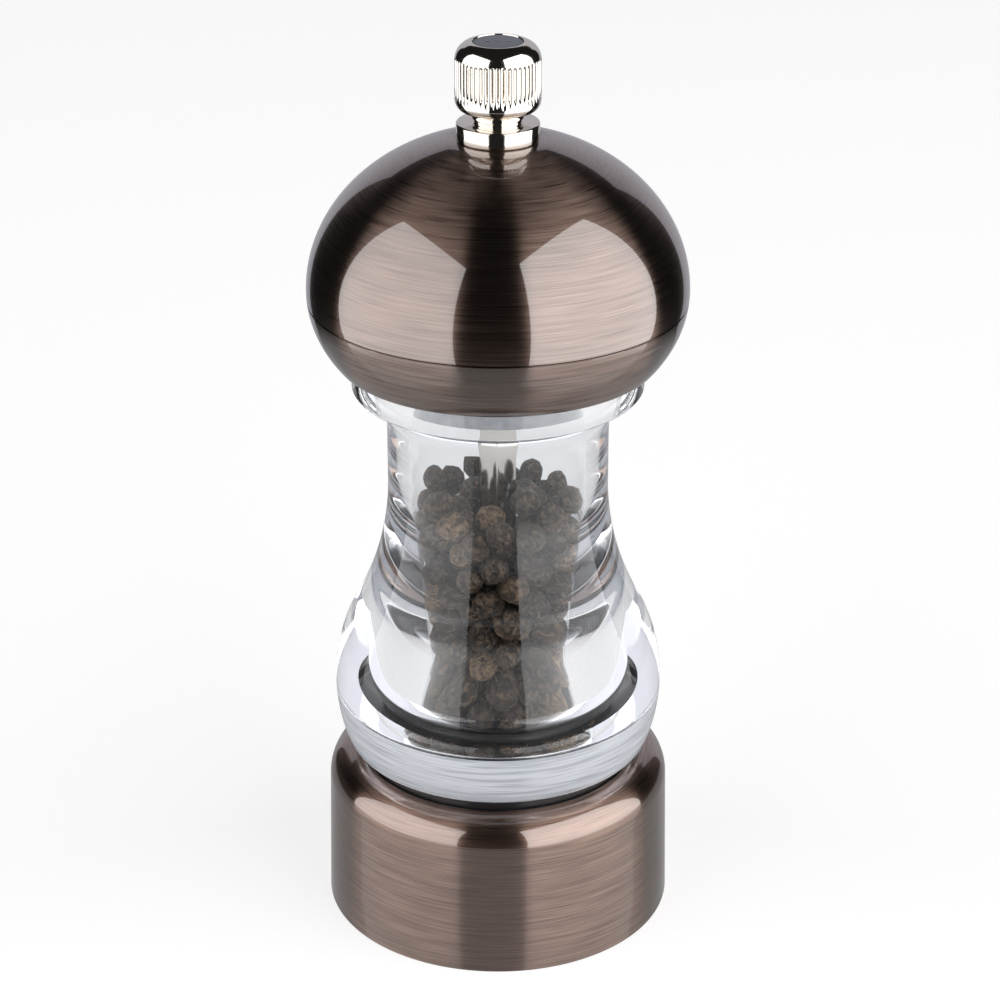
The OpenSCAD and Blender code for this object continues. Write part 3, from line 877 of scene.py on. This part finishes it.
# %% Skin of a peppercorn
berry_skin = finish("peppercorn", (0.06, 0.045, 0.035), 0.62, Specular_IOR_Level=0.4)
tree = berry_skin.node_tree
shader = tree.nodes["Principled BSDF"]
own = tree.nodes.new("ShaderNodeAttribute")
own.attribute_name = "berry_place"
tone = tree.nodes.new("ShaderNodeAttribute")
tone.attribute_name = "berry_tone"
folds = tree.nodes.new("ShaderNodeTexVoronoi")
folds.feature = "DISTANCE_TO_EDGE"
folds.inputs["Scale"].default_value = 2.1
bent = tree.nodes.new("ShaderNodeTexNoise")
bent.inputs["Scale"].default_value = 2.4
bent.inputs["Detail"].default_value = 5.0
bent.inputs["Distortion"].default_value = 1.2
tree.links.new(own.outputs["Vector"], bent.inputs["Vector"])
tree.links.new(bent.outputs["Color"], folds.inputs["Vector"])
dark_tones = (0.011, 0.009, 0.008), (0.052, 0.036, 0.026), (0.19, 0.13, 0.085)
light_tones = (0.05, 0.034, 0.022), (0.2, 0.128, 0.074), (0.44, 0.3, 0.18)
dark_skin = add_ramp(tree, bent.outputs["Fac"], zip((0.38, 0.52, 0.68), dark_tones))
light_skin = add_ramp(tree, bent.outputs["Fac"], zip((0.35, 0.5, 0.68), light_tones))
blend_tone = tree.nodes.new("ShaderNodeMix")
blend_tone.data_type = "RGBA"
tree.links.new(tone.outputs["Fac"], blend_tone.inputs["Factor"])
tree.links.new(dark_skin, blend_tone.inputs["A"])
tree.links.new(light_skin, blend_tone.inputs["B"])
tree.links.new(blend_tone.outputs["Result"], shader.inputs["Base Color"])
add_bump(tree, shader, bent.outputs["Fac"], 1.0, 1.1)
print("skin ready:", berry_skin.name)

# %% Place the berries
bpy.ops.object.select_all(action="DESELECT")
copies = []
for i, (x, y, z, radius) in enumerate(corns):
    source = berry_shapes[i % len(berry_shapes)]
    copy = source.copy()
    copy.data = source.data.copy()
    copy.name = f"corn_{i}"
    scene.collection.objects.link(copy)
    place = copy.data.attributes.new("berry_place", "FLOAT_VECTOR", "POINT")
    shift = Vector((i % 17, i % 13, i % 7)) * 3.1
    place.data.foreach_set("vector", [c for v in copy.data.vertices for c in (v.co / mm + shift)])
    pale = 0.95 if drop.random() < 0.13 else drop.uniform(0.0, 0.5) ** 1.3
    shade = copy.data.attributes.new("berry_tone", "FLOAT", "POINT")
    shade.data.foreach_set("value", [pale] * len(copy.data.vertices))
    copy.scale = (radius, radius, radius * drop.uniform(0.9, 1.0))
    copy.rotation_euler = [drop.uniform(0, math.tau) for _ in range(3)]
    copy.location = (x * mm, y * mm, z * mm)
    copies.append(copy)
for berry in berry_shapes:
    bpy.data.objects.remove(berry)
for copy in copies:
    copy.select_set(True)
bpy.context.view_layer.objects.active = copies[0]
bpy.ops.object.join()
berries = bpy.context.object
berries.name = berries.data.name = "peppercorn_fill"
done(berries, 60)
fit(berries, "mill_body", "peppercorn", berry_skin, "peppercorns")

# %% [markdown]
# ## The spring
# A short coil spring under the cone lifts it again when the knob is loosened. It is wound
# from round wire with closed ends, so its pitch is almost nothing at first and last. A disc
# is pushed out step by step and turned round the axis each time, which winds the wire as a
# real coiling machine does. In the real mill the coil flattens as the cone is drawn down.

# %% Spring
wire_r, coil_r, turns, steps = 0.42, 4.6, 3.9, 117
spring_low, spring_high = (corner.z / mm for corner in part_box("spring"))
bpy.ops.object.select_all(action="DESELECT")
bpy.ops.mesh.primitive_circle_add(
    vertices=12,
    radius=wire_r * mm,
    fill_type="NGON",
    location=(coil_r * mm, 0, (spring_low + wire_r) * mm),
    rotation=(math.pi / 2, 0, 0),
)
spring = bpy.context.object
spring.name = spring.data.name = "coil_spring"
bpy.ops.object.transform_apply(location=True, rotation=True, scale=True)
edit(spring)
bpy.ops.mesh.select_all(action="SELECT")
climb = [min(1.0, 0.1 + i / 30, 0.1 + (steps - 1 - i) / 30) for i in range(steps)]
lift = (spring_high - spring_low - 2 * wire_r) / sum(climb)
for rate in climb:
    bpy.ops.mesh.extrude_region_move(TRANSFORM_OT_translate={"value": (0, 0, rate * lift * mm)})
    bpy.ops.transform.rotate(
        value=math.tau * turns / steps, orient_axis="Z", center_override=(0, 0, 0)
    )
bpy.ops.mesh.select_all(action="SELECT")
bpy.ops.mesh.normals_make_consistent(inside=False)
done(spring, 60)
fit(spring, "mill_body", "spring_steel", spring_steel, "spring")
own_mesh(spring)

# %% [markdown]
# ## Finishes for the working pieces
# The pieces inside keep the shape that the working model gives them, because their fits
# and teeth are exact there. Each only takes its real material.

# %% Dress the working pieces
dress = {
    "stator_housing": black_plastic,
    "stator_ring": ceramic,
    "retainer_bridge": zinc,
    "bridge_screws": screw_steel,
    "glide_ring": nylon,
    "head_core": grey_plastic,
    "drive_plate": zinc,
    "drive_plate_screws": screw_steel,
    "thrust_washer": nylon,
    "shaft_clip": spring_steel,
    "rotor_hub": black_plastic,
    "rotor_cone": ceramic,
}
for name, material in dress.items():
    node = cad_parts[name]
    node.data.materials.clear()
    node.data.materials.append(material)
print("dressed:", ", ".join(dress))
